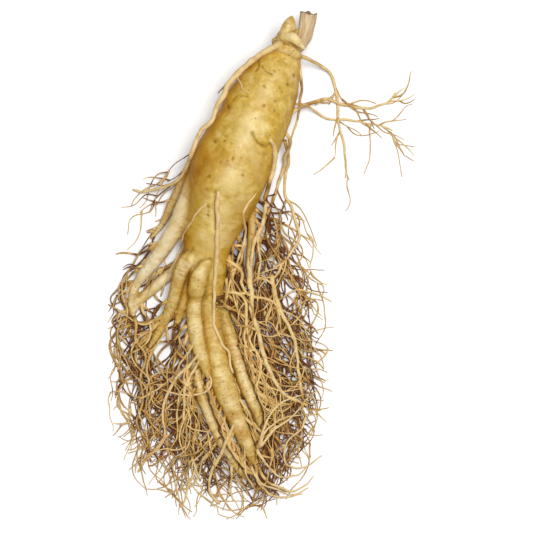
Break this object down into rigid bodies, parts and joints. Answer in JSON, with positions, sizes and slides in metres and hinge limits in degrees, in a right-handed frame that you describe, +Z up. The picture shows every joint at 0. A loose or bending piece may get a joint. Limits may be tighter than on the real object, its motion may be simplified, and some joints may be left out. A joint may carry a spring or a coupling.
{
  "type": "ginseng root",
  "caption": "Fresh whole ginseng root lying flat: knobbly crown with winter buds and a dry stem stub, plump tapering body, forked legs and long thin side roots.",
  "frame": {"origin": "on the surface that the root lies on, under the middle of its bounding box", "axes": "+Y along the root from its tips towards its crown, +Z up from the surface, +X to the right when the crown points away"},
  "size_m": [0.1234, 0.2232, 0.0344],
  "materials": {
    "root_skin": "fresh washed root skin: golden cream, satin, paler on the legs and thin roots, brown in the creases",
    "dry_stem": "dry matte stem fibre, greyish tan with fine lengthwise ribs"
  },
  "bodies": {
    "root": {"root": "root_skin", "stem_stub": "dry_stem"}
  },
  "joints": []
}
